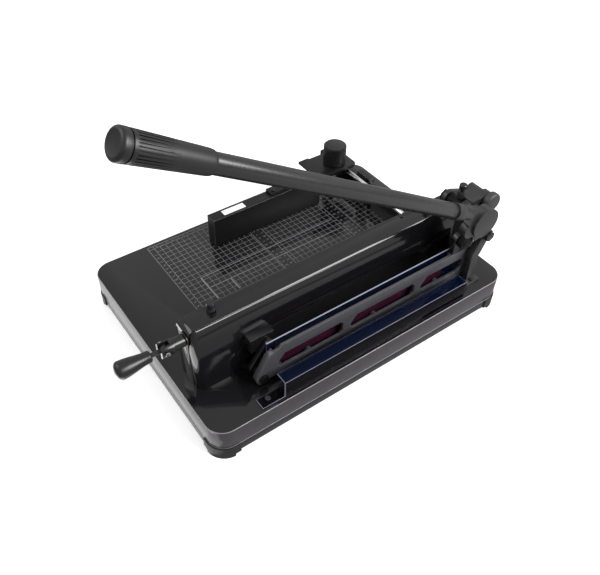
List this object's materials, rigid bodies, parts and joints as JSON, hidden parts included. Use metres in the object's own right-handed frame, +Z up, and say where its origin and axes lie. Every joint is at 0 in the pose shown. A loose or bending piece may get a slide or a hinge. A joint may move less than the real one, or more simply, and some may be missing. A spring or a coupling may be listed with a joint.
{
  "type": "guillotine paper cutter",
  "caption": "Heavy-duty guillotine paper cutter with a grid deck, lever-driven knife carrier, rack-and-pinion paper clamp and sliding side stop.",
  "frame": {"origin": "under the middle of the overall box, on the surface the feet rest on", "axes": "+X to the knife side, +Y from the operator's edge to the rear, +Z up"},
  "size_m": [0.391, 0.6176, 0.5138],
  "materials": {
    "deck_paint": "gloss black paint",
    "pan_paint": "satin gray",
    "foot_plastic": "matte",
    "casting_gray": "satin dark gray",
    "bright_steel": "turned",
    "rod_chrome": "polished",
    "bronze": "machined",
    "clamp_metal": "semi-gloss black",
    "black_steel": "black oxide",
    "tube_paint": "satin dark gray",
    "grip_plastic": "matte",
    "black_plastic": "semi-gloss",
    "buffer_rubber": "matte",
    "blade_paint": "gloss red",
    "stick_plastic": "matte",
    "blue_acrylic": "clear blue",
    "label_white": "matte"
  },
  "bodies": {
    "base": {"base_plate": "deck_paint", "base_pan": "pan_paint", "corner_feet": "foot_plastic", "foot_screws": "bright_steel", "cutting_stick": "stick_plastic", "front_leg": "deck_paint", "rear_leg": "deck_paint", "bridge_beam": "deck_paint", "side_cover": "deck_paint", "beam_screws": "black_steel", "cover_studs": "black_steel", "shaft_bushes": "bronze", "link_bracket": "deck_paint", "link_bolt": "bright_steel", "rear_bracket": "casting_gray", "pivot_bushes": "bronze", "stop_buffer": "buffer_rubber", "stay_arm": "casting_gray", "stay_bolt": "black_steel", "bracket_screws": "black_steel", "blade_guard": "blue_acrylic", "guard_screws": "black_steel", "rear_fence": "deck_paint", "fence_screws": "black_steel", "rod_blocks": "deck_paint", "guide_rod": "rod_chrome"},
    "clamp_drive": {"clamp_shaft": "bright_steel", "clamp_pinions": "bright_steel", "handle_clevis": "clamp_metal", "fold_pin": "bright_steel"},
    "fold_handle": {"handle_rod": "bright_steel"},
    "spin_grip": {"handle_grip": "black_plastic"},
    "clamp": {"clamp_bar": "clamp_metal", "rack_posts": "bright_steel", "post_nuts": "black_steel"},
    "lever": {"pivot_shaft": "bright_steel", "shaft_collar": "bright_steel", "pivot_nut": "bright_steel", "lever_hub": "casting_gray", "crank_arm": "black_steel", "crank_pin": "bright_steel", "lever_tube": "tube_paint", "tube_ring": "black_plastic", "lever_grip": "grip_plastic", "grip_cap": "grip_plastic"},
    "carrier": {"knife_carrier": "casting_gray", "carrier_ear": "black_steel", "blade_shield": "blue_acrylic", "knife_blade": "blade_paint", "blade_bolts": "black_steel", "link_pin": "bright_steel"},
    "link": {"front_link": "black_steel"},
    "latch": {"latch_pin": "black_plastic"},
    "stop": {"stop_carriage": "deck_paint", "side_stop": "deck_paint", "stop_label": "label_white", "stop_screws": "black_steel"},
    "lock_knob": {"stop_knob": "black_plastic", "knob_stud": "bright_steel"}
  },
  "joints": [
    {"name": "lever_pivot", "type": "hinge", "parent": "base", "child": "lever", "pos_m": [0.1625, 0.24725, 0.18], "axis": [-1, 0, 0], "range_deg": [0, 60]},
    {"name": "carrier_pivot", "type": "hinge", "parent": "lever", "child": "carrier", "pos_m": [0.14925, 0.22325, 0.146], "axis": [-1, 0, 0], "range_deg": [-60, 0]},
    {"name": "link_pivot", "type": "hinge", "parent": "base", "child": "link", "pos_m": [0.1305, -0.10875, 0.106], "axis": [-1, 0, 0], "range_deg": [0, 60]},
    {"name": "clamp_turn", "type": "hinge", "parent": "base", "child": "clamp_drive", "pos_m": [0.091, 0.03725, 0.145], "axis": [0, 1, 0], "range_deg": [-88.5, 167]},
    {"name": "clamp_slide", "type": "slide", "parent": "base", "child": "clamp", "axis": [0, 0, 1], "range_m": [-0.0135, 0.0255]},
    {"name": "handle_fold", "type": "hinge", "parent": "clamp_drive", "child": "fold_handle", "pos_m": [0.091, -0.24075, 0.145], "axis": [-1, 0, 0], "range_deg": [-90, 90]},
    {"name": "grip_spin", "type": "hinge", "parent": "fold_handle", "child": "spin_grip", "pos_m": [0.091, -0.28275, 0.145], "axis": [0, -1, 0], "continuous": true},
    {"name": "latch_press", "type": "slide", "parent": "base", "child": "latch", "axis": [0, 0, 1], "range_m": [-0.004, 0], "stiffness_N_per_m": 400, "springref_m": 0.002},
    {"name": "stop_slide", "type": "slide", "parent": "base", "child": "stop", "axis": [1, 0, 0], "range_m": [0, 0.16]},
    {"name": "knob_turn", "type": "hinge", "parent": "stop", "child": "lock_knob", "pos_m": [-0.146, 0.21625, 0.129], "axis": [0, 0, 1], "range_deg": [-90, 90]}
  ],
  "couplings": [
    {"joint": "carrier_pivot", "follows": "lever_pivot", "ratio": -1},
    {"joint": "link_pivot", "follows": "lever_pivot", "ratio": 1},
    {"joint": "clamp_turn", "follows": "clamp_slide", "rad_per_m": 114.29}
  ]
}
